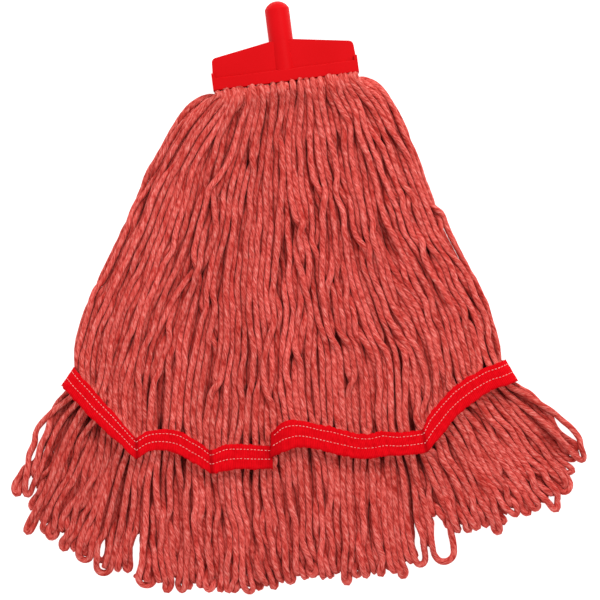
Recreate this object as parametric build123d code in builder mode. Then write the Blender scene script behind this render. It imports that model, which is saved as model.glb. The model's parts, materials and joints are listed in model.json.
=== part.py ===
"""String mop head: a spigot fitting, a sewn headband, looped yarn and a stitched tail band.

The head lies flat on its rear side. The origin is the middle of the jaw's rear face, +X runs
along the jaw, +Y along the spigot and +Z up through the yarn. All sizes are in millimetres.
"""
from build123d import *
from math import atan2, degrees
import os

# ---- fitting ----
JAW_WIDTH = 116.5
JAW_LOW_Y = -6.0
JAW_HIGH_Y = 4.0
JAW_TOP_Z = 24.0
JAW_WALL = 2.5
BACK_WALL_Y = 8.0
PLATE_WIDTH = 113.0
PLATE_THICKNESS = 3.0
PLATE_TOP_Z = 21.0
CORNER_Y = 19.5
CORNER_RADIUS = 4.0
SPIGOT_RADIUS = 9.75
SPIGOT_Z = 13.3
SPIGOT_BASE_Y = 27.0
SPIGOT_DOME_Y = 52.7
SPIGOT_TIP_Y = 59.0
BOSS_RADIUS = 10.4
BOSS_START_Y = 3.5
CORE_WIDTH = 7.0
CORE_DEPTH = 9.0
CORE_LOW_Y = 10.0
CORE_HIGH_Y = 25.0
RIB_THICKNESS = 2.0
RIB_DEPTH = 12.0
RIB_XS = (-40.0, -24.0, 24.0, 40.0)
RIM_ROUND = 0.9
CLAMP_CORNER = 2.0
RIVET_XS = (-48.0, -30.0, 30.0, 48.0)
RIVET_Y = 5.5
RIVET_RADIUS = 1.6
RIVET_GAP = 0.05
RIVET_LENGTH = 9.0
RIVET_HOLE_SPARE = 0.5
RIVET_HEAD_RADIUS = 2.2
RIVET_HEAD_DEPTH = 1.2
RIVET_PLACES = [(x, RIVET_Y) for x in RIVET_XS]

# ---- headband ----
HEADBAND_GAP = 0.2
HEADBAND_TAPE = 1.0
HEADBAND_THREADS = {"headband_thread_upper": 1.0, "headband_thread_lower": -3.5}
THREAD_WIDTH = 0.6
THREAD_HEIGHT = 0.4
STITCH_LENGTH = 2.0
STITCH_PITCH = 2.8

# ---- tail band ----
TAPE_THICKNESS = 1.2
BAND_TOP_Z = 21.0
BAND_LOW_Z = 0.2
BAND_MID_Z = (BAND_TOP_Z + BAND_LOW_Z) / 2
INNER_TAPE_INSET = 0.1
STITCH_ROWS = {"tail_thread_upper": 0.2, "tail_thread_lower": 0.58}

# ---- yarn ----
FOLD_Y = -316.0
FOLD_GAP = 1.5
SIDE_GAP = 0.4
LAYER_GAP = 0.2
BAND_LAYER_GAP = 1.0

# Both edges of the tail band from the left side fold to the right one, without the two folds:
# (top edge, bottom edge). The band makes a V, a crest, a pleat and a second V.
BAND_LEFT = [
    ((-191, -216.5), (-204, -230.5)),
    ((-155, -271), (-156, -288)),
    ((-126, -268), (-128, -286)),
    ((-98, -288), (-99, -307)),
    ((-48, -291), (-50, -309)),
]
BAND_RIGHT = [
    ((-50, -275), (-52, -299)),
    ((-25, -273), (-26, -294)),
    ((14, -288), (17, -310)),
    ((72, -293), (73, -312)),
    ((94, -268), (98, -289)),
    ((119, -254), (124, -272)),
    ((137, -249), (145, -268)),
]

# Where one bundle of yarn ends and the next starts, from left to right: the place in the neck
# below the jaw, then the tail band's two edges, and the way from there to the fold line.
SEAMS = [
    (-56, [(-191, -216.5), (-204, -230.5), (-240, -266), (-250, -314.5)]),
    (-34, [(-155, -271), (-156, -288), (-157, -301), (-158, -314.5)]),
    (-17, [(-98, -288), (-99, -307), (-99, -311), (-99, -314.5)]),
    (-4, [(-49, -291), (-51, -309), (-51, -312), (-51, -314.5)]),
    (14, [(14, -288), (17, -310), (17, -312), (17, -314.5)]),
    (30, [(72, -293), (73, -312), (73.5, -313), (74, -314.5)]),
    (47, [(119, -254), (124, -272), (133, -293), (143, -314.5)]),
    (56, [(137, -249), (145, -268), (176, -294), (199, -314.5)]),
]
# Right of the pleat the band sits higher.
PLEAT_SEAM = (-2, [(-45, -275), (-47, -299), (-48.5, -308), (-50, -314.5)])
PLEAT = 3

# Outlines of the yarn between the neck and the band, where the outer strands bulge.
LEFT_SIDE = [(-90, -28), (-127, -77), (-165, -135)]
RIGHT_SIDE = [(80, -28), (99, -90), (119, -155)]
SIDE_SHARES = [0.12, 0.36, 0.62]

# Heights at each station: rear side, middle of the two layers, front side.
NECK_Y = -9.5
HEIGHTS = [
    (1.0, 12.0, 24.0),
    (0.0, 14.0, 29.0),
    (0.0, 13.0, 27.0),
    (0.0, 12.0, 25.0),
    (1.8, BAND_MID_Z, 19.0),
    (1.8, BAND_MID_Z, 19.0),
    (0.5, 9.0, 17.5),
    (0.0, 8.5, 16.5),
]
CROWN = 1.5

# The fringe below the fold line: its seams' starts and tips, in three flaps.
FRINGE_SEAMS = {
    "left": [[(-250, -317.5), (-230, -351), (-214, -368)], [(-160, -317.5), (-164, -352), (-171, -390)]],
    "middle": [
        [(-156, -317.5), (-160, -352), (-166, -391)],
        [(-99, -317.5), (-104, -358), (-110, -401)],
        [(-51, -317.5), (-50, -360), (-47, -407)],
        [(17, -317.5), (14, -360), (9, -408)],
        [(71, -317.5), (69, -360), (64, -406)],
    ],
    "right": [
        [(75, -317.5), (73, -355), (69, -400)],
        [(143, -317.5), (140, -350), (132, -384)],
        [(199, -317.5), (196, -342), (176, -372)],
    ],
}
FRINGE_HEIGHTS = [(0.0, 8.2, 16.0), (0.0, 7.5, 14.5), (0.0, 6.0, 11.5)]

os.makedirs("parts", exist_ok=True)


def save(part, name):
    """Label a finished piece and write its STEP file."""
    part.label = name
    export_step(part, f"parts/{name}.step")


def along(start, end, share):
    """The point at a share of the way from start to end."""
    return tuple(a + (b - a) * share for a, b in zip(start, end))


# ---- the fitting: jaw, plate, boss and spigot in one moulding ----
def make_fitting():
    half_plate = PLATE_WIDTH / 2
    with BuildPart() as fitting:
        with BuildSketch(Plane.XY.offset(PLATE_TOP_Z - PLATE_THICKNESS)) as plate:
            with BuildLine():
                Polyline(
                    (-half_plate - 1, JAW_HIGH_Y), (-half_plate, CORNER_Y), (-SPIGOT_RADIUS, SPIGOT_BASE_Y),
                    (SPIGOT_RADIUS, SPIGOT_BASE_Y), (half_plate, CORNER_Y), (half_plate + 1, JAW_HIGH_Y),
                    close=True,
                )
            make_face()
            fillet(plate.vertices().group_by(Axis.Y)[-2], CORNER_RADIUS)
        extrude(amount=PLATE_THICKNESS)
        with BuildSketch(Plane.YZ.offset(-JAW_WIDTH / 2)):
            with BuildLine():
                Polyline(
                    (JAW_LOW_Y, JAW_TOP_Z), (JAW_HIGH_Y, JAW_TOP_Z), (JAW_HIGH_Y, PLATE_TOP_Z),
                    (BACK_WALL_Y, PLATE_TOP_Z), (BACK_WALL_Y, JAW_WALL), (JAW_HIGH_Y - 1, JAW_WALL),
                    (JAW_HIGH_Y - 1, JAW_TOP_Z - JAW_WALL), (JAW_LOW_Y, JAW_TOP_Z - JAW_WALL),
                    close=True,
                )
            make_face()
        extrude(amount=JAW_WIDTH)
        with BuildSketch(Plane.XY.offset(JAW_WALL)):
            for side in (-1, 1):
                with Locations((side * (JAW_WIDTH - JAW_WALL) / 2, (JAW_LOW_Y + BACK_WALL_Y) / 2)):
                    Rectangle(JAW_WALL, BACK_WALL_Y - JAW_LOW_Y)
        extrude(amount=JAW_TOP_Z - JAW_WALL)
        jaw_rim = fitting.edges().filter_by(Axis.X).group_by(Axis.Z)[-1]
        fillet(jaw_rim, RIM_ROUND)
        with BuildSketch(Plane.XY.offset(PLATE_TOP_Z - RIB_DEPTH)):
            with Locations(*[(x, (JAW_HIGH_Y + CORNER_Y) / 2) for x in RIB_XS]):
                Rectangle(RIB_THICKNESS, CORNER_Y - JAW_HIGH_Y)
        extrude(amount=RIB_DEPTH - PLATE_THICKNESS / 2)
        with BuildSketch(Plane.XY.offset(SPIGOT_Z)):
            with BuildLine():
                Polyline(
                    (0, SPIGOT_TIP_Y), (0, BOSS_START_Y), (BOSS_RADIUS, BOSS_START_Y),
                    (SPIGOT_RADIUS, SPIGOT_BASE_Y), (SPIGOT_RADIUS, SPIGOT_DOME_Y),
                )
                rise = SPIGOT_TIP_Y - SPIGOT_DOME_Y
                dome_radius = (SPIGOT_RADIUS**2 + rise**2) / (2 * rise)
                dome_y = SPIGOT_TIP_Y - dome_radius
                rim_angle = degrees(atan2(SPIGOT_DOME_Y - dome_y, SPIGOT_RADIUS))
                CenterArc((0, dome_y), dome_radius, rim_angle, 90 - rim_angle)
            make_face()
        revolve(axis=Axis((0, 0, SPIGOT_Z), (0, 1, 0)))
        with BuildSketch(Plane.XY):
            with Locations((0, (CORE_LOW_Y + CORE_HIGH_Y) / 2)):
                Rectangle(CORE_WIDTH, CORE_HIGH_Y - CORE_LOW_Y)
        extrude(amount=SPIGOT_Z - SPIGOT_RADIUS + CORE_DEPTH, mode=Mode.SUBTRACT)
        with BuildSketch(Plane.XY.offset(JAW_WALL)):
            with Locations(*RIVET_PLACES):
                Circle(RIVET_RADIUS + RIVET_GAP)
        extrude(amount=RIVET_LENGTH - JAW_WALL, mode=Mode.SUBTRACT)
    save(fitting.part, "spigot_fitting")


def make_clamp_plate():
    """The rear jaw: a flat bar that closes the channel over the headband."""
    with BuildPart() as clamp:
        with BuildSketch(Plane.XY):
            with Locations((0, (JAW_LOW_Y + BACK_WALL_Y) / 2)):
                RectangleRounded(JAW_WIDTH, BACK_WALL_Y - JAW_LOW_Y, CLAMP_CORNER)
        extrude(amount=JAW_WALL)
        with BuildSketch(Plane.XY):
            with Locations(*RIVET_PLACES):
                Circle(RIVET_RADIUS + RIVET_GAP)
        extrude(amount=JAW_WALL, mode=Mode.SUBTRACT)
        with BuildSketch(Plane.XY):
            with Locations(*RIVET_PLACES):
                Circle(RIVET_HEAD_RADIUS + RIVET_GAP)
        extrude(amount=RIVET_HEAD_DEPTH + RIVET_GAP, mode=Mode.SUBTRACT)
    save(clamp.part, "clamp_plate")


def make_rivets():
    """Rivets pressed from the rear through the clamp plate into the fitting."""
    with BuildPart() as rivets:
        with BuildSketch(Plane.XY):
            with Locations(*RIVET_PLACES):
                Circle(RIVET_RADIUS)
        extrude(amount=RIVET_LENGTH - RIVET_HOLE_SPARE)
        with BuildSketch(Plane.XY):
            with Locations(*RIVET_PLACES):
                Circle(RIVET_HEAD_RADIUS)
        extrude(amount=RIVET_HEAD_DEPTH)
    save(rivets.part, "clamp_rivets")


# ---- the headband: a tape folded over the cut ends of the yarn and sewn twice ----
def make_headband():
    inner_half = JAW_WIDTH / 2 - JAW_WALL - HEADBAND_GAP
    low_z = JAW_WALL + HEADBAND_GAP
    high_z = JAW_TOP_Z - JAW_WALL - HEADBAND_GAP - THREAD_HEIGHT
    high_y = JAW_HIGH_Y - 1 - HEADBAND_GAP
    with BuildPart() as tape:
        with BuildSketch(Plane.YZ.offset(-inner_half)):
            with BuildLine():
                Polyline(
                    (JAW_LOW_Y + 0.5, high_z), (high_y, high_z), (high_y, low_z), (JAW_LOW_Y + 0.5, low_z),
                    (JAW_LOW_Y + 0.5, low_z + HEADBAND_TAPE), (high_y - HEADBAND_TAPE, low_z + HEADBAND_TAPE),
                    (high_y - HEADBAND_TAPE, high_z - HEADBAND_TAPE), (JAW_LOW_Y + 0.5, high_z - HEADBAND_TAPE),
                    close=True,
                )
            make_face()
        extrude(amount=2 * inner_half)
    save(tape.part, "headband_tape")

    with BuildPart() as yarn_ends:
        with BuildSketch(Plane.XY.offset(low_z + HEADBAND_TAPE)):
            with Locations((0, (JAW_LOW_Y + high_y - HEADBAND_TAPE) / 2)):
                Rectangle(2 * inner_half - 1, high_y - HEADBAND_TAPE - JAW_LOW_Y)
        extrude(amount=high_z - low_z - 2 * HEADBAND_TAPE)
    save(yarn_ends.part, "yarn_sewn_ends")

    count = int((2 * inner_half - 4) // STITCH_PITCH)
    for name, y in HEADBAND_THREADS.items():
        with BuildPart() as thread:
            with BuildSketch(Plane.XY.offset(high_z)):
                with Locations((0, y)):
                    with GridLocations(STITCH_PITCH, 1, count, 1):
                        Rectangle(STITCH_LENGTH, THREAD_WIDTH)
            extrude(amount=THREAD_HEIGHT)
        save(thread.part, name)


# ---- the tail band: an outer tape right round the yarn, an inner tape and two rows of thread ----
def band_outline(inset=0.0):
    """Corner points of each stretch of the band; inset is a share of its end segments."""
    left = [list(pair) for pair in BAND_LEFT]
    right = [list(pair) for pair in BAND_RIGHT]
    if inset:
        left[0] = [along(a, b, inset) for a, b in zip(left[0], left[1])]
        right[-1] = [along(a, b, 2 * inset) for a, b in zip(right[-1], right[-2])]
    return [[top for top, _ in run] + [low for _, low in reversed(run)] for run in (left, right)]


def add_band_layer(z, thickness, inset=0.0):
    """Both stretches of the band as one flat layer of the part being built."""
    for outline in band_outline(inset):
        with BuildSketch(Plane.XY.offset(z)) as stretch:
            with BuildLine():
                Polyline(*outline, close=True)
            make_face()
        extrude(stretch.sketch, amount=thickness)


def add_side_fold(top, low, outward):
    """The half round where the outer tape turns from the front to the rear."""
    run = Vector(*low) - Vector(*top)
    radius = BAND_TOP_Z - BAND_MID_Z
    across = Plane(origin=(*top, BAND_MID_Z), x_dir=(0, 0, 1), z_dir=run)
    inward = -radius if across.y_dir.dot(Vector(*outward)) > 0 else radius
    with BuildSketch(across) as half_ring:
        Circle(radius)
        Circle(radius - TAPE_THICKNESS, mode=Mode.SUBTRACT)
        with Locations((0, inward)):
            Rectangle(2 * radius + 1, 2 * radius, mode=Mode.SUBTRACT)
    extrude(half_ring.sketch, amount=run.length)


def make_tail_tapes():
    with BuildPart() as outer:
        add_band_layer(BAND_TOP_Z - TAPE_THICKNESS, TAPE_THICKNESS)
        add_band_layer(BAND_LOW_Z, TAPE_THICKNESS)
        add_side_fold(*BAND_LEFT[0], (-0.55, 0.83))
        add_side_fold(*BAND_RIGHT[-1], (0.97, 0.25))
    save(outer.part, "tail_tape_outer")
    with BuildPart() as inner:
        add_band_layer(BAND_MID_Z - TAPE_THICKNESS / 2, TAPE_THICKNESS, INNER_TAPE_INSET)
    save(inner.part, "tail_tape_inner")


def stitch_places(run, share):
    """Middle and angle of each stitch of a row that follows one stretch of the band."""
    row = [Vector(*along(top, low, share)) for top, low in run]
    places = []
    for start, end in zip(row, row[1:]):
        step = end - start
        count = int(step.length // STITCH_PITCH)
        angle = Vector(1, 0).get_signed_angle(step)
        for i in range(count):
            middle = start + step * ((i + 0.5) / count)
            places.append(Location((middle.X, middle.Y), angle))
    return places


def make_tail_threads():
    for name, share in STITCH_ROWS.items():
        with BuildPart() as thread:
            with BuildSketch(Plane.XY.offset(BAND_TOP_Z)):
                with Locations(*stitch_places(BAND_LEFT[:-1], share), *stitch_places(BAND_RIGHT, share)):
                    Rectangle(STITCH_LENGTH, THREAD_WIDTH)
            extrude(amount=THREAD_HEIGHT)
        save(thread.part, name)


# ---- the yarn: bundles of neighbouring strands in a front and a rear layer ----
def skirt_path(seam):
    """A seam's places at every station from the neck to the fold line."""
    neck_x, lower = seam
    neck = (neck_x, NECK_Y)
    across = (neck_x - SEAMS[0][0]) / (SEAMS[-1][0] - SEAMS[0][0])
    path = [neck]
    for share, left, right in zip(SIDE_SHARES, LEFT_SIDE, RIGHT_SIDE):
        point = Vector(*along(neck, lower[0], share))
        left_chord = along((SEAMS[0][0], NECK_Y), SEAMS[0][1][0], share)
        right_chord = along((SEAMS[-1][0], NECK_Y), SEAMS[-1][1][0], share)
        point += (Vector(*left) - Vector(*left_chord)) * (1 - across) ** 2
        point += (Vector(*right) - Vector(*right_chord)) * across ** 2
        path.append((point.X, point.Y))
    return path + lower


def make_bundle(name, left_path, right_path, levels, crown):
    """A closed solid through upright sections between two seams."""
    with BuildPart() as bundle:
        for left, right, (low, high) in zip(left_path, right_path, levels):
            chord = Vector(*right) - Vector(*left)
            width = chord.length - 2 * SIDE_GAP
            with BuildSketch(Plane(origin=(*left, 0), x_dir=chord, z_dir=(chord.Y, -chord.X, 0))):
                with BuildLine():
                    start, end = SIDE_GAP, SIDE_GAP + width
                    Line((start, high - crown), (start, low))
                    Line((start, low), (end, low))
                    Line((end, low), (end, high - crown))
                    ThreePointArc((end, high - crown), ((start + end) / 2, high), (start, high - crown))
                make_face()
        loft(ruled=True)
    save(bundle.part, name)


def layer_levels(heights, front):
    """Lowest and highest point of one layer at each station."""
    levels = []
    for low, middle, high in heights:
        gap = BAND_LAYER_GAP if middle == BAND_MID_Z else LAYER_GAP
        levels.append((middle + gap, high) if front else (low, middle - gap))
    return levels


def make_skirt():
    for i, (left, right) in enumerate(zip(SEAMS, SEAMS[1:])):
        left_path = skirt_path(PLEAT_SEAM if i == PLEAT else left)
        right_path = skirt_path(right)
        for layer, crown in (("front", CROWN), ("rear", 0.2)):
            levels = layer_levels(HEIGHTS, layer == "front")
            make_bundle(f"yarn_{layer}_{i + 1}", left_path, right_path, levels, crown)


def make_fringe():
    for flap, seams in FRINGE_SEAMS.items():
        for i, (left, right) in enumerate(zip(seams, seams[1:])):
            for layer, crown in (("front", CROWN), ("rear", 0.2)):
                levels = layer_levels(FRINGE_HEIGHTS, layer == "front")
                make_bundle(f"fringe_{flap}_{layer}_{i + 1}", left, right, levels, crown)


make_fitting()
make_clamp_plate()
make_rivets()
make_headband()
make_tail_tapes()
make_tail_threads()
make_skirt()
make_fringe()
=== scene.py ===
"""The looks of the string mop head: camera, yarn, tail band, stitching, materials and light.

The part's frame is in metres. The yarn and the tapes are worked out in millimetres, the unit of
the places given below, and turned to metres with MM when a mesh is made.
"""

import json
import math

import bpy
import numpy as np
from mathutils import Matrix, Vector


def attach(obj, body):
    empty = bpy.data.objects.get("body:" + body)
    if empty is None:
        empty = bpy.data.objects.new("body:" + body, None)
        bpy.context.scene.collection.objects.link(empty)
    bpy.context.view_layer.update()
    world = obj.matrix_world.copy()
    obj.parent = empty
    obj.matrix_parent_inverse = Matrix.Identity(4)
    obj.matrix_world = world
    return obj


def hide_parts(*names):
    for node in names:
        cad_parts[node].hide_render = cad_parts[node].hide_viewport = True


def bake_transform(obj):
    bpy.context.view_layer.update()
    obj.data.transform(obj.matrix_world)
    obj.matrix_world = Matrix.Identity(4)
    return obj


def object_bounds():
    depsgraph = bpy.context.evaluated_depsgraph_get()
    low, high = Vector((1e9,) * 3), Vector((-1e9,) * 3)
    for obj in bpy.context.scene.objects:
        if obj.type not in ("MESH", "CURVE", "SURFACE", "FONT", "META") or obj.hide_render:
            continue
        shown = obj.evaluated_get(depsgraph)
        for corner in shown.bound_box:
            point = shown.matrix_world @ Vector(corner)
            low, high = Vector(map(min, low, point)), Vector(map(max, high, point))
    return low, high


MM = 0.001
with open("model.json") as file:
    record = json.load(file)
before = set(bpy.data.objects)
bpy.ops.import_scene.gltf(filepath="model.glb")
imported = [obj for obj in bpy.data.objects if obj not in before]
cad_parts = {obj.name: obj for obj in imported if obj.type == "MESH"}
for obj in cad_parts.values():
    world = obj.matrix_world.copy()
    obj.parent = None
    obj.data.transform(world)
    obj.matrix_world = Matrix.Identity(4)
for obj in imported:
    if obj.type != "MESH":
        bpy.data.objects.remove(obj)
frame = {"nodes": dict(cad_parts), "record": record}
cad_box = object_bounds()
rng = np.random.default_rng(11)

# ---- camera: straight above the head as it lies on the floor ----
CAMERA_HEIGHT = 2.4
VIEW_WIDTH = 0.480
VIEW_TURN = math.radians(-7.4)
AIM_FROM_MIDDLE = (0.0140, -0.0046)


def make_camera():
    data = bpy.data.cameras.new("camera")
    camera = bpy.data.objects.new("camera", data)
    bpy.context.collection.objects.link(camera)
    middle = (cad_box[0] + cad_box[1]) / 2
    camera.location = (middle.x + AIM_FROM_MIDDLE[0], middle.y + AIM_FROM_MIDDLE[1], CAMERA_HEIGHT)
    camera.rotation_euler = (0, 0, VIEW_TURN)
    data.lens = data.sensor_width * CAMERA_HEIGHT / VIEW_WIDTH
    data.clip_end = 20
    bpy.context.scene.camera = camera


make_camera()

# ---- the tail band's two stretches, in millimetres: (top edge, bottom edge, tip of the fringe) ----
# Each stretch is a list of smooth runs that meet in a folded corner.
BAND = {
    "left": [
        [((-191, -217), (-202.5, -230), (-253, -297)), ((-175, -241), (-183, -257), (-236, -345)),
         ((-155, -271), (-156, -288), (-188, -379))],
        [((-155, -271), (-156, -288), (-188, -379)), ((-144, -267), (-143, -283), (-167, -388)),
         ((-127, -268), (-128, -286), (-147, -395)), ((-112, -275), (-114, -295), (-122, -402)),
         ((-98, -288), (-99, -307), (-103, -403))],
        [((-98, -288), (-99, -307), (-103, -403)), ((-81, -286), (-82, -306), (-86, -407)),
         ((-48, -290), (-50, -309), (-57, -406))],
    ],
    "right": [
        [((-48, -280), (-51, -300), (-52, -405)), ((-34, -273), (-37, -296), (-38, -404)),
         ((-20, -275), (-22, -295), (-26, -403)), ((14, -288), (17, -310), (6, -407)),
         ((40, -292), (43, -311), (44, -407)), ((72, -294), (73, -312), (92, -386))],
        [((72, -294), (73, -312), (92, -386)), ((80, -281), (86, -300), (113, -383)),
         ((94, -268), (98, -289), (141, -375)), ((111, -257), (118, -275), (171, -367)),
         ((126, -252), (133, -269), (190, -346)), ((135, -249.5), (143, -268.5), (207, -318))],
    ],
}
LEFT_SIDE = [(-57, -8), (-64, -17), (-78, -32), (-98, -50), (-118, -79), (-138, -106), (-159, -136),
             (-178, -164), (-190, -190), (-194, -213)]
RIGHT_SIDE = [(57, -8), (61, -17), (71, -32), (79, -52), (87, -73), (93, -100), (103, -131), (117, -164),
              (134, -198), (145, -247)]

# ---- yarn sizes and layers, in millimetres ----
YARN_RADIUS = 2.6
NECK_RADIUS = 2.3
NECK_HALF = 55.5
JAW_EDGE_Y = -6.0
HINGE_START_Y, HINGE_END_Y = -36.0, -7.0
FOLD_START_Y, FOLD_END_Y = -304.0, -346.0
FLAP_EDGES = (-158.0, 74.0)
STEP = 3.0
# Loops left and right of the pleat, the heights of the rows in the jaw, below it and at the band, and how
# much farther than the front layer the loops hang.
LAYERS = {
    "front": {"loops": (16, 19), "jaw": (18.0, 15.6, 13.2), "below": (27.0, 23.4, 19.5), "band": 17.0,
              "longer": 0.0},
    "middle": {"loops": (17, 20), "jaw": (11.4, 9.5), "below": (15.6, 11.8), "band": 10.4, "longer": -4.0},
    "rear": {"loops": (16, 18), "jaw": (7.6, 5.6), "below": (8.2, 3.6), "band": 4.4, "longer": -1.0},
}
# How far beyond the ends of the front tape the strands of a layer reach inside the side folds.
REACH = {
    "left": {"front": 1.0, "middle": 5.0, "rear": 0.5},
    "right": {"front": 4.5, "middle": 6.5, "rear": 4.0},
}
# Front loops that hang open, as (stretch, place along it, half width, extra length, bow, share of the way
# down where it is widest).
OPEN_LOOPS = [
    ("left", 0.03, 6.2, 0.0, -8.0, 0.45), ("left", 0.08, 1.8, 12.0, 0.0, 1.0),
    ("left", 0.35, 6.0, 2.0, 0.0, 1.0), ("left", 0.47, 6.5, 0.0, 0.0, 1.0),
    ("right", 0.50, 4.6, 0.0, 0.0, 1.0), ("right", 0.56, 8.4, 8.0, 1.5, 1.0),
    ("right", 0.98, 5.6, 0.0, 5.0, 0.70),
]
TIP_RADIUS = 2.4
# Places in the fringe that one can see through, as (centre, half width and half length, heading in degrees).
HOLES = [
    ((-230, -256), (3.0, 7.0), -38), ((-239, -275), (2.2, 5.0), -20), ((-194, -355), (3.0, 8.5), -7),
    ((-167, -364), (3.2, 15.0), -7), ((57, -382), (2.4, 9.0), -7), ((75, -381), (5.0, 14.5), -4),
    ((187, -311), (2.8, 13.0), 44),
]
# Strands that are pulled aside above the band, as (stretch, from, to, shift, where, how long).
PULLS = [
    ("right", 0.0, 0.09, -17.0, 0.85, 0.09), ("right", 0.56, 0.64, 15.0, 0.88, 0.07),
    ("left", 0.9, 1.0, 6.0, 0.72, 0.12), ("left", 0.36, 0.46, -8.0, 0.84, 0.10),
]
PULLED_LIFT = 2.5
NO_PULL = (0.0, 0.5, 1.0)

# Shares along the band and the shares along the jaw that they come from.
SPREAD = ((0.0, 0.42, 0.56, 0.83, 1.0), (0.0, 0.36, 0.61, 0.86, 1.0))
# Where the whole sheet drifts sideways, as (across, how wide, share of the way down, how long, shift).
DRIFTS = [(0.62, 0.18, 0.20, 0.15, -5.0), (0.68, 0.17, 0.82, 0.13, 9.0)]


# ---- lines ----
def at_shares(points, share):
    """Places at shares of the length of a line through points."""
    points = np.asarray(points, float)
    along = np.r_[0, np.cumsum(np.linalg.norm(np.diff(points[:, :3], axis=0), axis=1))]
    share = np.asarray(share, float) * along[-1]
    return np.stack([np.interp(share, along, column) for column in points.T], -1)


def smooth_line(points, step):
    """A Catmull-Rom line through points, at even steps."""
    p = np.asarray(points, float)
    p = np.vstack([2 * p[0] - p[1], p, 2 * p[-1] - p[-2]])
    t = np.linspace(0, 1, 8, endpoint=False)[:, None]
    parts = [0.5 * (2 * b + (c - a) * t + (2 * a - 5 * b + 4 * c - d) * t**2 + (3 * b - a - 3 * c + d) * t**3)
             for a, b, c, d in zip(p, p[1:], p[2:], p[3:])]
    line = np.vstack([*parts, p[-2]])
    length = np.linalg.norm(np.diff(line[:, :3], axis=0), axis=1).sum()
    return at_shares(line, np.linspace(0, 1, max(int(round(length / step)), 4) + 1))


def band_line(stretch, step=1.5):
    """Rows of top edge, bottom edge and fringe tip at even steps along one stretch of the band."""
    runs = []
    for run in BAND[stretch]:
        rows = np.array([[*top, *low, *tip] for top, low, tip in run], float)
        middle = (rows[:, :2] + rows[:, 2:4]) / 2
        line = smooth_line(np.column_stack([middle, np.zeros(len(rows)), rows]), step)
        runs.append(line[:, 3:] if run is BAND[stretch][-1] else line[:-1, 3:])
    return np.vstack(runs)


BAND_STEP = 1.5
EDGES = {stretch: band_line(stretch, BAND_STEP) for stretch in BAND}


def run_on(rows, count):
    """Rows carried straight on past the side end of a stretch."""
    first, second = (rows[0], rows[1]) if rows is EDGES["left"] else (rows[-1], rows[-2])
    more = np.array([first + (first - second) * (i + 1) for i in range(count)])
    return np.vstack([more[::-1], rows]) if rows is EDGES["left"] else np.vstack([rows, more])


LONG_EDGES = {stretch: run_on(rows, 5) for stretch, rows in EDGES.items()}


def band_at(stretch, share, reach=0.0):
    """Top edge, bottom edge and fringe tip at a share of one stretch and of its reach past the side."""
    rows = LONG_EDGES[stretch]
    spare = 5 - reach / BAND_STEP
    place = share * (len(rows) - 1 - spare) + (spare if stretch == "left" else 0)
    found = np.array([np.interp(place, np.arange(len(rows)), column) for column in rows.T])
    return found[:2], found[2:4], found[4:]


# ---- the way of each strand ----
# Waves that neighbouring strands share, as (waves across, phase, waves down, phase).
CLUMPS = [(rng.uniform(9, 34), rng.uniform(0, 6.28), rng.uniform(0.6, 2.2), rng.uniform(0, 6.28))
          for _ in range(7)]
CLUMP_SIZE = 2.0


def clump_shift(across, share):
    """Sideways shift that neighbouring strands share, so that they gather and part."""
    clumps = sum(math.sin(k * across + a) * np.sin(2 * math.pi * f * share + b) for k, a, f, b in CLUMPS)
    drifts = sum(move * math.exp(-((across - x) / w) ** 2) * np.exp(-((share - t) / h) ** 2)
                 for x, w, t, h, move in DRIFTS)
    return clumps * CLUMP_SIZE + drifts


def half_strand(layer, row, neck_x, across, top, low, pull):
    """Points of one strand from inside the jaw to the band's lower edge."""
    facts = LAYERS[layer]
    shares = np.array([0.05, 0.1, 0.17, 0.25, 0.34, 0.43, 0.52, 0.61, 0.7, 0.79, 0.87, 0.94])
    start = np.array([neck_x, -8.0])
    line = start + (top - start) * shares[:, None]
    for side, weight in ((LEFT_SIDE, (1 - across) ** 2.2), (RIGHT_SIDE, across**2.2)):
        chord = np.array(side[0]) + (np.array(side[-1]) - np.array(side[0])) * shares[:, None]
        line += (at_shares(side, shares) - chord) * weight
    middle_share = np.sin(math.pi * shares) ** 0.7
    own = rng.normal(0, 3.2) * np.sin(2 * math.pi * rng.uniform(0.6, 1.5) * shares + rng.uniform(0, 6.28))
    own += rng.normal(0, 0.9) * np.sin(2 * math.pi * rng.uniform(2.0, 3.6) * shares + rng.uniform(0, 6.28))
    if rng.random() < 0.22:
        stray = rng.choice((-1, 1)) * rng.uniform(5, 12)
        own += stray * np.exp(-((shares - rng.uniform(0.4, 0.8)) / 0.24) ** 2)
    own += pull[0] * np.exp(-((shares - pull[1]) / pull[2]) ** 2)
    calm_at_sides = min(1.0, 6 * min(across, 1 - across) + 0.25)
    line[:, 0] += (own + clump_shift(across, shares)) * middle_share * calm_at_sides
    jaw_z, below_z, band_z = facts["jaw"][row], facts["below"][row], facts["band"]
    fall = np.clip(shares / 0.7, 0, 1)
    fall = fall * fall * (3 - 2 * fall)
    z = below_z + (band_z - below_z) * fall + rng.normal(0, 2.2) * middle_share
    z = z + (PULLED_LIFT if pull[0] else 0) * shares
    points = [(neck_x, 1.0, jaw_z), (neck_x, JAW_EDGE_Y, jaw_z)]
    if layer == "front":
        puff = rng.random() if row == 0 else -0.4
        points += [(neck_x, JAW_EDGE_Y - 2.7, jaw_z + 3),
                   (neck_x, JAW_EDGE_Y - 1.9 + 1.8 * puff, 24.8 + 1.6 * puff),
                   (neck_x, JAW_EDGE_Y - 6.0 + puff, 26.6 + puff)]
    points += [(x, y, h) for (x, y), h in zip(line, z)]
    return points + [(*top, band_z), (*low, band_z)]


def loop_reach(share, half, width, widest):
    """Half the distance between a loop's two legs at a share of the way down."""
    if share <= widest:
        return half + (width - half) * math.sin(math.pi / 2 * share / widest)
    return TIP_RADIUS + (width - TIP_RADIUS) * math.cos(math.pi / 2 * (share - widest) / (1 - widest))


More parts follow.
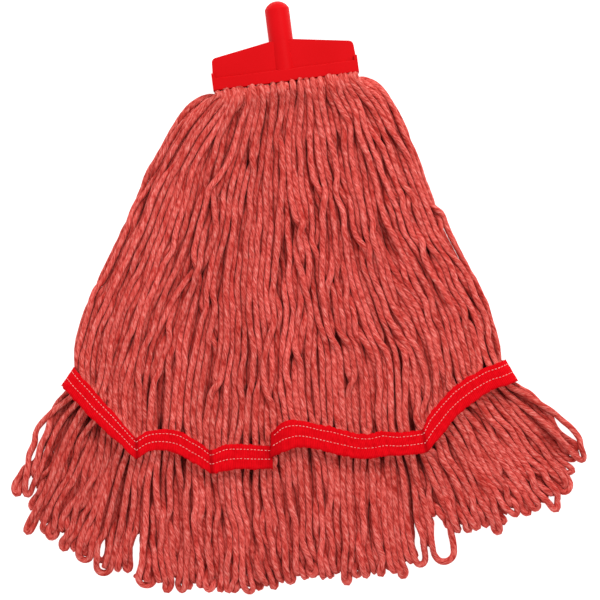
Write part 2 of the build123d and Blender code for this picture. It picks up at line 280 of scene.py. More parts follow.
def fringe_loop(low_a, low_b, tip, band_z, width, bow, widest):
    """Points of a loop below the band, from one strand's place at the band to the other's."""
    open_width = width if widest == 1 else TIP_RADIUS
    middle = (low_a + low_b) / 2
    run = tip - middle
    length = np.linalg.norm(run)
    forward = run / length
    side = np.array([-forward[1], forward[0]])
    if (low_b - low_a) @ side < 0:
        side = -side
    sway = rng.normal(0, 1.2)
    stack = 0.6 + 2.0 * max(0.0, 2.9 - open_width)
    half = np.linalg.norm(low_b - low_a) / 2
    down, up = [], []
    for share in (0.13, 0.27, 0.41, 0.55, 0.69, 0.83):
        centre = middle + forward * share * (length - open_width)
        centre = centre + side * (bow * math.sin(math.pi * share) + sway * math.sin(7 * share))
        reach = loop_reach(share, half, width, widest)
        height = band_z + (YARN_RADIUS + 0.6 - band_z) * share**1.3
        down.append((*(centre - side * reach), height + stack * share))
        up.append((*(centre + side * reach), height - 0.6 * share))
    turn = []
    for angle in np.radians([-90, -45, 0, 45, 90]):
        place = tip + forward * open_width * (math.cos(angle) - 1) + side * open_width * math.sin(angle)
        turn.append((*place, YARN_RADIUS + 0.6))
    return down + turn + up[::-1]


def make_loops():
    """All yarn loops, each with its layer, its points and where its two halves and its fringe lie."""
    loops = []
    for layer, facts in LAYERS.items():
        total = 2 * sum(facts["loops"])
        strand = 0
        for stretch, count in zip(BAND, facts["loops"]):
            opened = {int(place * count - 0.01): shape for name, place, *shape in OPEN_LOOPS
                      if name == stretch and layer == "front"}
            for i in range(count):
                halves, lows = [], []
                place = (i + 0.5) / count
                pull = next((shape for name, first, last, *shape in PULLS
                             if name == stretch and first <= place <= last and layer == "front"), NO_PULL)
                for j in (0, 1):
                    jitter = 0
                    if 0 < 2 * i + j < 2 * count - 1:
                        jitter = rng.normal(0, 0.32 if layer == "front" else 0.12)
                    at_band = (2 * i + j + 0.5 + jitter) / (2 * count)
                    top, low, _ = band_at(stretch, at_band, REACH[stretch][layer])
                    order = np.interp(strand + 0.5, total * np.array(SPREAD[0]), total * np.array(SPREAD[1]))
                    order = np.clip(order + rng.normal(0, (0.4, 2.0)[strand % 2]), 0.3, total - 0.3)
                    neck_x = NECK_HALF * (2 * order / total - 1)
                    row, across = strand % len(facts["jaw"]), (strand + 0.5) / total
                    halves.append(half_strand(layer, row, neck_x, across, top, low, pull))
                    lows.append(low)
                    strand += 1
                tip = band_at(stretch, place)[2]
                width, extra, bow, widest = opened.get(
                    i, (rng.uniform(1.7, 2.6), rng.normal(-1.5, 3.5), rng.normal(0, 2.6), 1.0))
                forward = (tip - lows[0]) / np.linalg.norm(tip - lows[0])
                tip = tip + forward * (facts["longer"] + extra)
                tip[0] += rng.normal(0, 1.5)
                turn = fringe_loop(lows[0], lows[1], tip, facts["band"], width, bow, widest)
                loops.append({"layer": layer, "across": (strand - 1) / total, "tip": tip, "firm": i in opened,
                              "line": smooth_line(halves[0] + turn + halves[1][::-1], STEP)})
    return loops


# ---- letting the yarn settle ----
SETTLE_STEPS = 180
SINK = 0.08
STIFFNESS = 0.10
SEARCH_EVERY = 4
SEARCH_MARGIN = 1.6
PINNED_Y = -12.5
PACKING = 0.96


def close_pairs(x, reach, chain, order):
    """Index pairs of points nearer than reach that aren't neighbours on one strand."""
    cell = np.floor((x - x.min(0)) / reach).astype(np.int64) + 1
    size = cell.max(0) + 2
    key = (cell[:, 0] * size[1] + cell[:, 1]) * size[2] + cell[:, 2]
    by_key = np.argsort(key, kind="stable")
    sorted_key = key[by_key]
    found = []
    steps = [(a, b, c) for a in (-1, 0, 1) for b in (-1, 0, 1) for c in (-1, 0, 1) if (a, b, c) >= (0, 0, 0)]
    for a, b, c in steps:
        other = key + (a * size[1] + b) * size[2] + c
        first = np.searchsorted(sorted_key, other, "left")
        count = np.searchsorted(sorted_key, other, "right") - first
        i = np.repeat(np.arange(len(x)), count)
        inner = np.arange(count.sum()) - np.repeat(np.cumsum(count) - count, count)
        j = by_key[np.repeat(first, count) + inner]
        once = i < j if (a, b, c) == (0, 0, 0) else slice(None)
        found.append((i[once], j[once]))
    i, j = (np.concatenate(column) for column in zip(*found))
    near = ((x[i] - x[j]) ** 2).sum(1) < reach**2
    keep = near & ((chain[i] != chain[j]) | (np.abs(order[i] - order[j]) > 3))
    return i[keep], j[keep]


def clear_holes(x, radius):
    """Pushes the strands sideways out of the places one can see through."""
    for centre, half, heading in HOLES:
        angle = math.radians(heading)
        across = np.array([math.cos(angle), math.sin(angle)])
        along = np.array([math.sin(angle), -math.cos(angle)])
        offset = x[:, :2] - centre
        place = np.column_stack([offset @ across, offset @ along])
        size = np.array(half) + radius[:, None]
        out = np.linalg.norm(place / size, axis=1)
        inside = (out < 1) & (out > 0)
        place = place[inside] * (1 + 0.5 * (1 / np.maximum(out[inside], 0.25) - 1))[:, None]
        x[inside, :2] = centre + place[:, :1] * across + place[:, 1:] * along


def settle(loops, steps):
    """Moves the strands apart and down for a number of steps, onto each other and the floor."""
    sizes = [len(loop["line"]) for loop in loops]
    x = np.vstack([loop["line"] for loop in loops])
    chain = np.repeat(np.arange(len(loops)), sizes)
    order = np.concatenate([np.arange(size) for size in sizes])
    radius = np.interp(x[:, 1], [HINGE_START_Y, -10.0], [YARN_RADIUS, NECK_RADIUS])
    under_band = np.zeros(len(x), bool)
    for rows in LONG_EDGES.values():
        for share in (0.15, 0.5, 0.85):
            middle = rows[::2, :2] + (rows[::2, 2:4] - rows[::2, :2]) * share
            for place in middle:
                under_band |= ((x[:, :2] - place) ** 2).sum(1) < 6.0
    held = under_band | (x[:, 1] > PINNED_Y)
    home = x.copy()
    firm = np.repeat([loop["firm"] for loop in loops], sizes) & (x[:, 1] < HINGE_START_Y - 190)
    link = np.flatnonzero(chain[:-1] == chain[1:])
    rest = np.linalg.norm(x[link + 1] - x[link], axis=1)
    odd = order[link] % 2 == 1
    inner = np.flatnonzero(chain[:-2] == chain[2:]) + 1
    inner = inner[~held[inner]]
    for step in range(steps):
        x[~held, 2] -= SINK
        for half in (odd, ~odd):
            a = link[half]
            gap = x[a + 1] - x[a]
            length = np.linalg.norm(gap, axis=1)
            pull = gap * (0.5 * (length - rest[half]) / np.maximum(length, 1e-6))[:, None]
            x[a] += pull
            x[a + 1] -= pull
        x[inner] += STIFFNESS * ((x[inner - 1] + x[inner + 1]) / 2 - x[inner])
        if step % SEARCH_EVERY == 0:
            i, j = close_pairs(x, 2 * YARN_RADIUS + SEARCH_MARGIN, chain, order)
        apart = x[i] - x[j]
        distance = np.linalg.norm(apart, axis=1)
        room = (radius[i] + radius[j]) * PACKING
        hit = distance < room
        a, b = i[hit], j[hit]
        push = apart[hit] * (0.5 * (room[hit] - distance[hit]) / np.maximum(distance[hit], 1e-3))[:, None]
        move = np.stack([np.bincount(a, column, len(x)) - np.bincount(b, column, len(x))
                         for column in push.T], -1)
        touching = np.bincount(a, minlength=len(x)) + np.bincount(b, minlength=len(x))
        x += move * (1.4 / np.maximum(touching, 1.4))[:, None]
        clear_holes(x, radius)
        x[firm, :2] += 0.25 * (home[firm, :2] - x[firm, :2])
        x[:, 2] = np.maximum(x[:, 2], radius)
        x[held] = home[held]
    for _ in range(2):
        x[inner] += 0.4 * ((x[inner - 1] + x[inner + 1]) / 2 - x[inner])
    # The band's middle line splits each loop into two strands and the fringe between them.
    middle = np.vstack([(rows[:, :2] + rows[:, 2:4]) / 2 for rows in LONG_EDGES.values()])
    for number, loop in enumerate(loops):
        mine = chain == number
        loop["line"] = np.column_stack([x[mine], radius[mine]])
        gap = np.array([((middle - place[:2]) ** 2).sum(1).min() for place in loop["line"]])
        half = len(gap) // 2
        loop["cuts"] = (int(np.argmin(gap[:half])), half + int(np.argmin(gap[half:])))


loops = make_loops()
settle(loops, SETTLE_STEPS)

# ---- how deep a place lies below the yarn's outer surface, for the painted shade that darkens the yarn in the gaps ----
MAP_CELL = 2.0
MAP_LOW = np.array([-300.0, -440.0])
MAP_SIZE = (280, 230)


def map_cells(places):
    cells = ((places[:, :2] - MAP_LOW) / MAP_CELL).astype(int)
    return cells[:, 0], cells[:, 1]


def spread(field):
    """The highest value within two cells, then an even mean."""
    shifts = [(a, b) for a in range(-2, 3) for b in range(-2, 3) if a * a + b * b < 6]
    high = np.max([np.roll(field, shift, (0, 1)) for shift in shifts], axis=0)
    return np.mean([np.roll(high, shift, (0, 1)) for shift in shifts], axis=0)


def outer_heights():
    line = np.vstack([loop["line"] for loop in loops])
    top, bottom = np.full(MAP_SIZE, 0.0), np.full(MAP_SIZE, -30.0)
    np.maximum.at(top, map_cells(line), line[:, 2] + line[:, 3])
    np.maximum.at(bottom, map_cells(line), line[:, 3] - line[:, 2])
    return spread(top), -spread(bottom)


TOP_MAP, BOTTOM_MAP = outer_heights()


def depth_at(places):
    cells = map_cells(places)
    # The painted shade fades out towards the jaw.
    near_jaw = np.interp(places[:, 1], [-34, -13], [1.0, 0.1])
    depth = np.minimum(TOP_MAP[cells] - places[:, 2], places[:, 2] - BOTTOM_MAP[cells])
    return np.clip(depth, 0, 10) * near_jaw


# ---- materials ----
def make_material(name, build):
    material = bpy.data.materials.new(name)
    material.use_nodes = True
    nodes, links = material.node_tree.nodes, material.node_tree.links
    build(nodes, links, nodes["Principled BSDF"])
    return material


def colour_ramp(nodes, links, source, stops):
    """A ramp of colours driven by source; returns its colour output."""
    ramp = nodes.new("ShaderNodeValToRGB")
    elements = ramp.color_ramp.elements
    while len(elements) < len(stops):
        elements.new(0.5)
    for element, (place, colour) in zip(elements, stops):
        element.position = place
        element.color = (*colour, 1)
    links.new(source, ramp.inputs["Fac"])
    return ramp.outputs["Color"]


def multiply(nodes, links, first, second):
    mix = nodes.new("ShaderNodeMix")
    mix.data_type, mix.blend_type = "RGBA", "MULTIPLY"
    mix.inputs["Factor"].default_value = 1.0
    links.new(first, mix.inputs["A"])
    links.new(second, mix.inputs["B"])
    return mix.outputs["Result"]


def noise(nodes, links, vector, scale, detail=2.0):
    texture = nodes.new("ShaderNodeTexNoise")
    texture.inputs["Scale"].default_value = scale
    texture.inputs["Detail"].default_value = detail
    links.new(vector, texture.inputs["Vector"])
    return texture.outputs["Fac"]


def attribute(nodes, name, output):
    node = nodes.new("ShaderNodeAttribute")
    node.attribute_name = name
    return node.outputs[output]


def bump(nodes, links, shader, height, strength, distance):
    node = nodes.new("ShaderNodeBump")
    node.inputs["Strength"].default_value = strength
    node.inputs["Distance"].default_value = distance
    links.new(height, node.inputs["Height"])
    links.new(node.outputs["Normal"], shader.inputs["Normal"])


def build_yarn(nodes, links, shader):
    place = attribute(nodes, "strand", "Vector")
    fibre = noise(nodes, links, place, 1.0, 3.0)
    heather = colour_ramp(nodes, links, fibre, [
        (0.32, (0.39, 0.029, 0.024)), (0.43, (0.63, 0.070, 0.057)),
        (0.56, (0.78, 0.130, 0.109)), (0.69, (0.88, 0.262, 0.224)),
    ])
    patch = colour_ramp(nodes, links, noise(nodes, links, place, 0.30, 2.0), [
        (0.34, (0.76, 0.46, 0.43)), (0.48, (0.98, 0.96, 0.94)), (0.66, (1.0, 1.12, 1.14))])
    tone = colour_ramp(nodes, links, attribute(nodes, "tone", "Fac"), [
        (0.0, (0.86, 0.82, 0.80)), (1.0, (1, 1, 1))])
    # Painted shade in the grooves between the twisted plies.
    groove = colour_ramp(nodes, links, attribute(nodes, "groove", "Fac"), [
        (0.0, (0.86, 0.78, 0.78)), (0.5, (1, 1, 1))])
    # Painted shade: the yarn is darkened where it lies deep in the gaps between strands.
    gap = colour_ramp(nodes, links, attribute(nodes, "depth", "Fac"), [
        (0.16, (1, 1, 1)), (0.42, (0.73, 0.56, 0.54)), (0.9, (0.21, 0.070, 0.070))])
    colour = heather
    for layer in (patch, tone, groove, gap):
        colour = multiply(nodes, links, colour, layer)
    links.new(colour, shader.inputs["Base Color"])
    bump(nodes, links, shader, fibre, 0.5, 0.0004)
    shader.inputs["Roughness"].default_value = 0.95
    shader.inputs["Specular IOR Level"].default_value = 0.05
    shader.inputs["Sheen Weight"].default_value = 0.12
    shader.inputs["Sheen Roughness"].default_value = 0.5
    shader.inputs["Sheen Tint"].default_value = (1.0, 0.55, 0.48, 1)


def build_tape(nodes, links, shader):
    place = attribute(nodes, "weave", "Vector")
    wave = nodes.new("ShaderNodeTexWave")
    wave.inputs["Scale"].default_value = 0.22
    wave.inputs["Distortion"].default_value = 0.6
    links.new(place, wave.inputs["Vector"])
    mottle = noise(nodes, links, place, 0.25, 4.0)
    colour = colour_ramp(nodes, links, mottle, [(0.3, (0.66, 0.001, 0.005)), (0.7, (0.82, 0.003, 0.009))])
    weave = colour_ramp(nodes, links, wave.outputs["Fac"], [(0.0, (0.80, 0.74, 0.74)), (1.0, (1, 1, 1))])
    # Painted shade at the folded corners and a painted shadow under the pleat.
    shade = colour_ramp(nodes, links, attribute(nodes, "shade", "Fac"), [
        (0.0, (1, 1, 1)), (1.0, (0.50, 0.42, 0.45))])
    woven = multiply(nodes, links, colour, weave)
    links.new(multiply(nodes, links, woven, shade), shader.inputs["Base Color"])
    bump(nodes, links, shader, wave.outputs["Fac"], 0.35, 0.0003)
    shader.inputs["Roughness"].default_value = 0.9
    shader.inputs["Specular IOR Level"].default_value = 0.04


def build_plastic(nodes, links, shader):
    place = nodes.new("ShaderNodeTexCoord").outputs["Object"]
    cloud = noise(nodes, links, place, 18.0, 3.0)
    links.new(colour_ramp(nodes, links, cloud, [(0.3, (0.57, 0.001, 0.003)), (0.7, (0.63, 0.002, 0.005))]),
              shader.inputs["Base Color"])
    bump(nodes, links, shader, noise(nodes, links, place, 900.0), 0.12, 0.0002)
    shader.inputs["Roughness"].default_value = 0.42
    shader.inputs["Specular IOR Level"].default_value = 0.07


def build_rivet(nodes, links, shader):
    place = nodes.new("ShaderNodeTexCoord").outputs["Object"]
    links.new(colour_ramp(nodes, links, noise(nodes, links, place, 300.0), [
        (0.3, (0.42, 0.004, 0.007)), (0.7, (0.52, 0.006, 0.010))]), shader.inputs["Base Color"])
    shader.inputs["Roughness"].default_value = 0.4
    shader.inputs["Specular IOR Level"].default_value = 0.2


def build_thread(nodes, links, shader):
    place = nodes.new("ShaderNodeTexCoord").outputs["Object"]
    links.new(colour_ramp(nodes, links, noise(nodes, links, place, 1500.0), [
        (0.3, (0.76, 0.22, 0.20)), (0.7, (0.90, 0.46, 0.42))]), shader.inputs["Base Color"])
    shader.inputs["Roughness"].default_value = 0.8
    shader.inputs["Specular IOR Level"].default_value = 0.1


MATERIALS = {
    "yarn": make_material("yarn", build_yarn),
    "tape": make_material("tape", build_tape),
    "plastic": make_material("plastic", build_plastic),
    "rivet": make_material("rivet", build_rivet),
    "thread": make_material("thread", build_thread),
}


# ---- meshes ----
def make_piece(name, slot, vertices, faces, attributes):
    """A mesh object from millimetres, with its material and its vertex attributes."""
    mesh = bpy.data.meshes.new(name)
    mesh.from_pydata((np.asarray(vertices) * MM).tolist(), [], faces)
    for key, values in attributes.items():
        values = np.asarray(values, np.float32)
        kind, field = ("FLOAT_VECTOR", "vector") if values.ndim == 2 else ("FLOAT", "value")
        mesh.attributes.new(key, kind, "POINT").data.foreach_set(field, values.ravel())
    mesh.polygons.foreach_set("use_smooth", np.ones(len(mesh.polygons), bool))
    mesh.materials.append(MATERIALS[slot])
    mesh.update()
    piece = bpy.data.objects.new(name, mesh)
    bpy.context.collection.objects.link(piece)
    return piece


# ---- strands: a tube of three twisted plies with loose fibres ----
# SEEN_SHARE and FRINGE_SHARE are the drawn radius over the settled one, in the skirt and in the fringe.
PLIES = 3
PLY_DEPTH = 0.05
SEEN_SHARE = 0.93
FRINGE_SHARE = 0.98
TWIST_PITCH = 34.0
RING_STEP = 1.7
RING_POINTS = 12
FIBRES_PER_RING = 0.9
FIBRE_LENGTH = 2.3
FIBRE_WIDTH = 0.13
LUMPS = 0.045


def strand_rings(line, radius):
    """Rings round a line, each point's angle and how deep it is in the groove between two plies."""
    tangent = np.gradient(line, axis=0)
    tangent /= np.maximum(np.linalg.norm(tangent, axis=1), 1e-9)[:, None]
    side = np.cross(tangent, [0.0, 0.0, 1.0])
    weak = np.linalg.norm(side, axis=1) < 0.2
    side[weak] = np.cross(tangent[weak], [1.0, 0.0, 0.0])
    side /= np.linalg.norm(side, axis=1)[:, None]
    normal = np.cross(side, tangent)
    run = np.r_[0, np.cumsum(np.linalg.norm(np.diff(line, axis=0), axis=1))]
    angle = np.linspace(0, 2 * np.pi, RING_POINTS, endpoint=False)[None, :] + np.zeros((len(line), 1))
    turn = angle - 2 * np.pi * run[:, None] / TWIST_PITCH + rng.uniform(0, 6.28)
    lobe = np.abs(np.cos(0.5 * PLIES * turn))
    plies = 1 - PLY_DEPTH + 1.35 * PLY_DEPTH * lobe**0.7
    size = radius[:, None] * (plies + rng.normal(0, 0.015, angle.shape))
    ring = (line[:, None] + side[:, None] * (size * np.cos(angle))[..., None]
            + normal[:, None] * (size * np.sin(angle))[..., None])
    return ring, run, turn, lobe, tangent


def make_strands(name, lines):
    """One mesh of closed strands with their fibres; each line is rows of x, y, z and radius."""
    vertices, faces, strand, groove, tone, start = [], [], [], [], [], 0
    for rows in lines:
        fine = smooth_line(rows, RING_STEP)
        line, radius = fine[:, :3], fine[:, 3] * rng.uniform(0.94, 1.05)
        radius *= np.interp(line[:, 1], [FOLD_START_Y + 60, FOLD_START_Y + 110, HINGE_START_Y, -12.0],
                            [FRINGE_SHARE, SEEN_SHARE, SEEN_SHARE, 1.0])
        knots = np.arange(0, len(line) + 5, 4)
        lumps = np.interp(np.arange(len(line)), knots, rng.normal(0, LUMPS, len(line) // 4 + 2))
        radius *= 1 + lumps
        ring, run, turn, lobe, tangent = strand_rings(line, radius)
        rings = len(line)
        number = rng.uniform(0, 1000)
        place = np.stack([run[:, None] * 0.27 + 0 * turn, np.cos(turn) * 2.4 + number,
                          np.sin(turn) * 2.4], -1)
        i = np.arange(rings - 1)[:, None] * RING_POINTS
        j = np.arange(RING_POINTS)[None, :]
        k = (j + 1) % RING_POINTS
        quads = np.stack([i + j, i + k, i + RING_POINTS + k, i + RING_POINTS + j], -1).reshape(-1, 4) + start
        last = start + (rings - 1) * RING_POINTS
        faces += quads.tolist()
        faces += [list(range(start + RING_POINTS - 1, start - 1, -1)), list(range(last, last + RING_POINTS))]
        vertices.append(ring.reshape(-1, 3))
        strand.append(place.reshape(-1, 3))
        groove.append(lobe.ravel())
        start += rings * RING_POINTS
        count = int(rings * FIBRES_PER_RING)
        a, b = rng.integers(1, rings - 1, count), rng.integers(0, RING_POINTS, count)
        root = ring[a, b]
        out = (root - line[a]) / np.linalg.norm(root - line[a], axis=1)[:, None]
        way = tangent[a] * rng.choice((-1, 1), count)[:, None] + out * rng.uniform(0.1, 0.6, count)[:, None]
        way += rng.normal(0, 0.25, (count, 3))
        way /= np.linalg.norm(way, axis=1)[:, None]
        flat = np.cross(way, out)
        flat *= FIBRE_WIDTH / np.maximum(np.linalg.norm(flat, axis=1), 1e-6)[:, None]
        tip = root + way * (FIBRE_LENGTH * rng.uniform(0.4, 1.0, count))[:, None]
        tip[:, 2] = np.maximum(tip[:, 2], 0.1)
        vertices.append(np.stack([root - flat, root + flat, tip], 1).reshape(-1, 3))
        faces += (np.arange(count * 3).reshape(-1, 3) + start).tolist()
        strand.append(np.repeat(place[a, b], 3, axis=0))
        groove.append(np.ones(count * 3))
        tone.append(np.full(rings * RING_POINTS + count * 3, rng.uniform(0, 1)))
        start += count * 3
    vertices = np.vstack(vertices)
    # depth drives the painted shade in the gaps between strands.
    attributes = {"strand": np.vstack(strand), "groove": np.concatenate(groove), "tone": np.concatenate(tone),
                  "depth": depth_at(vertices) / 10}
    return make_piece(name, "yarn", vertices, faces, attributes)


def flap_of(x):
    return "left" if x < FLAP_EDGES[0] else "middle" if x < FLAP_EDGES[1] else "right"


SKIRT_PIECES = 7
FRINGE_NODES = {"left": 1, "middle": 4, "right": 2}


def make_skirt():
    """The strands between the jaw and the band, in bundles."""
    for layer in LAYERS:
        for bundle in range(SKIRT_PIECES):
            lines = []
            for loop in loops:
                if loop["layer"] == layer and int(loop["across"] * SKIRT_PIECES * 0.999) == bundle:
                    first, second = loop["cuts"]
                    lines += [loop["line"][:first + 1], loop["line"][second:][::-1]]
            piece = make_strands(f"skirt_{layer}_{bundle + 1}", lines)
            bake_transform(piece)
            if layer != "middle":
                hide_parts(f"yarn_{layer}_{bundle + 1}")
            if (layer, bundle) == ("front", SKIRT_PIECES // 2):
                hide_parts("yarn_sewn_ends")


def bend_at_fold(piece):
    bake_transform(piece)


def make_fringe():
    """The loops below the band: each front loop is a cord of its own, the others are in bundles."""
    number = 0
    for loop in loops:
        loop["fringe"] = loop["line"][loop["cuts"][0] - 1:loop["cuts"][1] + 2]
        loop["flap"] = flap_of(loop["tip"][0])
        if loop["layer"] == "front":
            number += 1
            piece = make_strands(f"fringe_loop_{number}", [loop["fringe"]])
            bend_at_fold(piece)
            nodes = FRINGE_NODES[loop["flap"]]
            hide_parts(*(f"fringe_{loop['flap']}_front_{i + 1}" for i in range(nodes)))
    for flap, nodes in FRINGE_NODES.items():
        for layer in ("middle", "rear"):
            piece = make_strands(f"fringe_{flap}_{layer}", [
                loop["fringe"] for loop in loops if loop["flap"] == flap and loop["layer"] == layer])
            bend_at_fold(piece)
            if layer == "rear":
                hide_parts(*(f"fringe_{flap}_rear_{i + 1}" for i in range(nodes)))


make_skirt()
make_fringe()

# ---- the tail band: one tape right round the yarn, an inner tape and two rows of stitches ----
TAPE_WIDTH_POINTS = 9
TAPE_THICKNESS = 0.9
INNER_THICKNESS = 0.5
FRONT_Z = 20.6
REAR_Z = 0.9
INNER_Z = 13.7
STITCH_SHARES = {"tail_thread_upper": 0.2, "tail_thread_lower": 0.58}
STITCH_LENGTH, STITCH_PITCH, STITCH_RADIUS = 1.9, 2.8, 0.28
STITCH_DENT = 0.35
LAP = 1.5
EDGE_SWAY = 0.6
CREASE = 0.9


def band_rows():
    """The outer tape's top and bottom edge in space, from its left end under the pleat right round."""
    def flat(stretch, z):
        rows = EDGES[stretch]
        lines = np.column_stack([rows[:, :2], np.full(len(rows), z), rows[:, 2:4], np.full(len(rows), z)])
        along = (rows[:, 2:4] - rows[:, :2]) / 20
        count = len(rows)
        for columns in ((0, 1), (3, 4)):
            knots = np.arange(0, count + 8, 7)
            sway = np.interp(np.arange(count), knots, rng.normal(0, EDGE_SWAY, count // 7 + 2))
            lines[:, columns] += along * sway[:, None]
        for corner in (run[-1][0] for run in BAND[stretch][:-1]):
            near = np.linalg.norm(rows[:, :2] - corner, axis=1)
            lines[:, [2, 5]] -= (CREASE * np.exp(-(near / 1.6) ** 2))[:, None]
        return lines

    def fold(row, outward):
        top, low = row[:3], row[3:]
        radius = (FRONT_Z - REAR_Z) / 2
        out = np.array([*outward, 0.0])
        turned = []
        for angle in np.radians(np.arange(15, 180, 15)):
            shift = out * radius * math.sin(angle) + np.array([0, 0, radius * (math.cos(angle) - 1)])
            turned.append(np.r_[top + shift, low + shift])
        return np.array(turned)

    left, right = flat("left", FRONT_Z), flat("right", FRONT_Z)
    left[-3:, [2, 5]] -= 0.3
    rise = np.clip(1 - np.arange(len(right)) / 6, 0, 1)
    right[:, [2, 5]] += (LAP * np.clip(rise * 2, 0, 1))[:, None]
    rear = np.vstack([flat("left", REAR_Z), flat("right", REAR_Z)[6:]])
    rear[:, [2, 5]] = REAR_Z
    return np.vstack([left[::-1], fold(left[0], (-0.55, 0.83)), rear, fold(right[-1], (0.97, 0.25))[::-1],
                      right[::-1]])


def make_ribbon(name, rows, thickness, profile):
    """A closed strip of cloth between two edges; profile lowers or lifts it across its width."""
    across = np.linspace(0, 1, TAPE_WIDTH_POINTS)
    top, low = rows[:, None, :3], rows[:, None, 3:]
    middle = top + (low - top) * across[None, :, None]
    along = np.gradient(middle, axis=0)
    normal = np.cross(along, np.broadcast_to(low - top, middle.shape))
    normal /= np.linalg.norm(normal, axis=2)[..., None]
    if normal[0, 0, 2] < 0:
        normal = -normal
    run = np.r_[0, np.cumsum(np.linalg.norm(np.diff(middle[:, 4], axis=0), axis=1))]
    fray = rng.normal(0, 0.28, (len(rows), 2))
    middle[:, 0] += (top[:, 0] - low[:, 0]) / 20 * fray[:, :1]
    middle[:, -1] -= (top[:, 0] - low[:, 0]) / 20 * fray[:, 1:]
    surface = middle + normal * profile(run, across)[..., None]
    both = np.stack([surface + normal * thickness / 2, surface - normal * thickness / 2])
    n, m = len(rows), TAPE_WIDTH_POINTS
    index = np.arange(2 * n * m).reshape(2, n, m)
    faces = []
    for side, turn in ((0, 1), (1, -1)):
        grid = index[side]
        quads = np.stack([grid[:-1, :-1], grid[:-1, 1:], grid[1:, 1:], grid[1:, :-1]], -1).reshape(-1, 4)
        faces += quads[:, ::turn].tolist()
    loop = np.r_[index[0, 0, :], index[0, 1:, -1], index[0, -1, -2::-1], index[0, -2:0:-1, 0]]
    under = loop + n * m
    faces += np.stack([loop, under, np.roll(under, -1), np.roll(loop, -1)], -1).tolist()
    weave = np.stack([run[:, None] + 0 * across[None, :], 20 * across[None, :] + 0 * run[:, None],
                      np.zeros((n, m))], -1)
    weave = np.concatenate([weave.reshape(-1, 3)] * 2)
    # Painted shade in the tape's folded corners and a painted shadow on the left end where the pleat lies
    # over it.
    spots = [(*run[-1][0], 1.4, 1.0) for stretch in BAND.values() for run in stretch[:-1]]
    spots.append((*BAND["left"][-1][-1][0], 9.0, 0.55))
    shade = sum(dark * np.exp(-((middle[:, 4, 0] - x) / wide) ** 2) for x, _, wide, dark in spots)
    shade = np.concatenate([np.repeat(shade, m)] * 2)
    piece = make_piece(name, "tape", both.reshape(-1, 3), faces, {"weave": weave, "shade": shade})
    return piece, run[-1]


def band_profile(run, across):
    """The tape sinks a little at both stitch rows and rides over the strands below it."""
    dents = sum(np.exp(-((across - share) / 0.07) ** 2) for share in STITCH_SHARES.values())
    ripple = 0.40 * np.sin(run * 2 * math.pi / 5.6 + 0.8 * np.sin(run / 17)) * (0.6 + 0.4 * np.sin(run / 29))
    return ripple[:, None] - STITCH_DENT * dents[None, :]


def make_tail_tapes(rows):
    outer, length = make_ribbon("tail_tape_outer_cloth", rows, TAPE_THICKNESS, band_profile)
    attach(outer, "skirt")
    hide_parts("tail_tape_outer")
    rows = np.vstack([EDGES["left"][4:], EDGES["right"][:-4]])
    height = np.full(len(rows), INNER_Z)
    rows = np.column_stack([rows[:, :2], height, rows[:, 2:4], height])
    inner, length = make_ribbon("tail_tape_inner_cloth", rows, INNER_THICKNESS,
                                lambda run, across: 0 * run[:, None] * across)
    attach(inner, "skirt")
    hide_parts("tail_tape_inner")


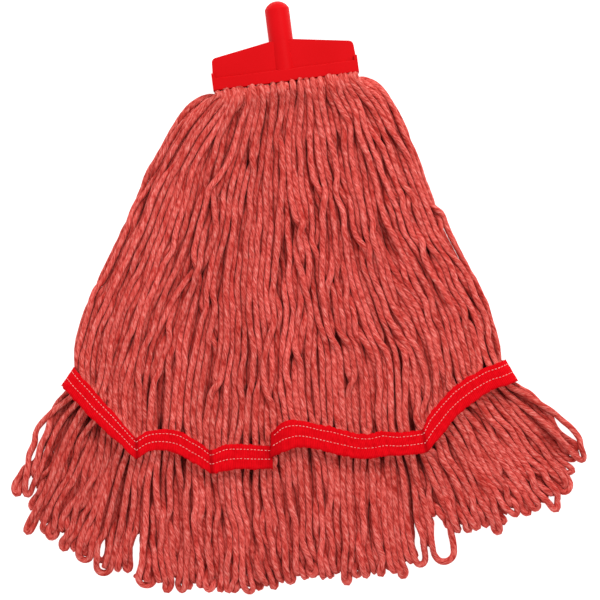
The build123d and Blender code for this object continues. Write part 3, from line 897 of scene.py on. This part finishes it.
def make_stitches(rows):
    """Both rows as short rounded stitches that dip into the tape at their ends."""
    for name, share in STITCH_SHARES.items():
        seam = rows[:, :3] + (rows[:, 3:] - rows[:, :3]) * share
        out = np.cross(np.gradient(seam, axis=0), rows[:, 3:] - rows[:, :3])
        out *= np.sign(out[0, 2]) / np.linalg.norm(out, axis=1)[:, None]
        seam = np.column_stack([seam, out])
        length = np.linalg.norm(np.diff(seam[:, :3], axis=0), axis=1).sum()
        vertices, faces = [], []
        for middle in np.arange(STITCH_PITCH, length - STITCH_PITCH, STITCH_PITCH):
            start = len(vertices)
            for t, size in ((-1, 0.3), (-0.64, 0.9), (0, 1.0), (0.64, 0.9), (1, 0.3)):
                at = at_shares(seam, (middle + t * STITCH_LENGTH / 2) / length)
                place, up = at[:3], at[3:] / np.linalg.norm(at[3:])
                ahead, behind = (at_shares(seam, (middle + step) / length)[:3] for step in (1, -1))
                side = np.cross(up, ahead - behind)
                side /= np.linalg.norm(side)
                place = place + up * (TAPE_THICKNESS / 2 - STITCH_DENT + 0.3 - 0.25 * t * t)
                for angle in np.radians(np.arange(0, 360, 60)):
                    around = side * math.cos(angle) + up * math.sin(angle)
                    vertices.append(place + STITCH_RADIUS * size * around)
            for ring in range(4):
                for k in range(6):
                    a, b = start + ring * 6 + k, start + ring * 6 + (k + 1) % 6
                    faces.append([a, b, b + 6, a + 6])
            faces += [list(range(start + 5, start - 1, -1)), list(range(start + 24, start + 30))]
        piece = make_piece(name + "_stitches", "thread", vertices, faces, {})
        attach(piece, "skirt")
        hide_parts(name)


tape_rows = band_rows()
make_tail_tapes(tape_rows)
make_stitches(tape_rows)


# ---- the CAD parts that stay in view ----
def finish_cad_parts():
    for part in frame["record"]["subparts"]:
        node = frame["nodes"][part["node"]]
        if not node.hide_render:
            node.data.materials.clear()
            node.data.materials.append(MATERIALS[part["material_slot"]])


finish_cad_parts()


# ---- floor and light ----
def make_floor():
    half = 6.0
    corners = [(-half, -half, 0), (half, -half, 0), (half, half, 0), (-half, half, 0)]
    mesh = bpy.data.meshes.new("floor")
    mesh.from_pydata(corners, [], [(0, 1, 2, 3)])
    floor = bpy.data.objects.new("floor", mesh)
    bpy.context.collection.objects.link(floor)
    floor.location.z = min(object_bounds()[0].z, 0) - 0.0002

    def build(nodes, links, shader):
        shader.inputs["Base Color"].default_value = (0.4, 0.4, 0.4, 1)
        shader.inputs["Roughness"].default_value = 0.9
        shader.inputs["Emission Color"].default_value = (1, 1, 1, 1)
        shader.inputs["Emission Strength"].default_value = 0.92

    mesh.materials.append(make_material("floor", build))


def make_light(name, place, size, power):
    data = bpy.data.lights.new(name, "AREA")
    data.shape = "DISK"
    data.size = size
    data.energy = power
    light = bpy.data.objects.new(name, data)
    bpy.context.collection.objects.link(light)
    light.location = place
    light.rotation_euler = (-Vector(place)).to_track_quat("-Z", "Y").to_euler()


def make_world():
    world = bpy.data.worlds.new("studio")
    bpy.context.scene.world = world
    world.use_nodes = True
    world.node_tree.nodes["Background"].inputs["Color"].default_value = (1, 1, 1, 1)
    world.node_tree.nodes["Background"].inputs["Strength"].default_value = 0.75
    bpy.context.scene.view_settings.view_transform = "Standard"


make_floor()
make_light("key", (0.6, 0.9, 1.25), 0.7, 18)
make_light("fill", (-1.3, -0.8, 1.8), 1.6, 5)
make_world()
